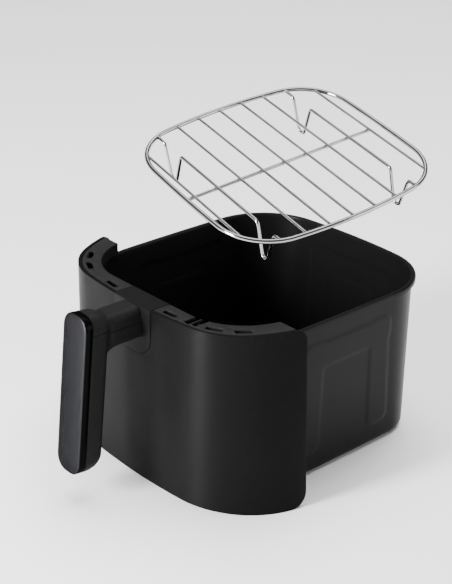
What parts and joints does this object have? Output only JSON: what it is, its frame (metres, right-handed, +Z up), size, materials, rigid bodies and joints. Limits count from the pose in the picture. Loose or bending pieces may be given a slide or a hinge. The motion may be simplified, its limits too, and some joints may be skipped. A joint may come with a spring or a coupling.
{
  "type": "air fryer drawer with rack",
  "caption": "Deep rounded-square frying basket with a curved front cover, a vertical bar handle and a lift-out wire rack on V-shaped feet.",
  "frame": {"origin": "centre of the pan's flat underside, on the surface the drawer stands on", "axes": "+Z up; -Y to the front, where the handle is; +X to the right as seen from the front"},
  "size_m": [0.257, 0.3176, 0.2742],
  "materials": {
    "coating": "non-stick coating, satin",
    "black_plastic": "fine moulded texture, matt",
    "grey_plastic": "satin",
    "gloss_plastic": "gloss black",
    "inlay": "satin gunmetal",
    "chrome": "bright plated wire",
    "steel": "zinc plated"
  },
  "bodies": {
    "drawer": {"pan": "coating", "front_cover": "black_plastic", "inner_frame": "black_plastic", "frame_screw_1": "steel", "frame_screw_2": "steel", "frame_screw_3": "steel", "frame_screw_4": "steel", "escutcheon": "grey_plastic", "pan_bracket": "steel", "handle_bolt_1": "steel", "handle_bolt_2": "steel", "handle_upper_shell": "black_plastic", "handle_lower_shell": "black_plastic", "handle_bezel": "gloss_plastic", "bezel_screw_1": "steel", "bezel_screw_2": "steel", "bezel_screw_3": "steel", "handle_inlay": "inlay"},
    "rack": {"rack_rim": "chrome", "rack_bar_1": "chrome", "rack_bar_3": "chrome", "rack_bar_4": "chrome", "rack_bar_5": "chrome", "rack_bar_6": "chrome", "rack_bar_7": "chrome", "rack_bar_9": "chrome", "rack_leg_bar_2": "chrome", "rack_leg_bar_8": "chrome", "rack_cross_bar": "chrome"}
  },
  "joints": [
    {"name": "rack_lift", "type": "hinge", "parent": "drawer", "child": "rack", "pos_m": [0.66983, -0.47998, 0.08586], "axis": [0.5849, 0.8051, -0.0984], "range_deg": [-14.95, 0]}
  ]
}
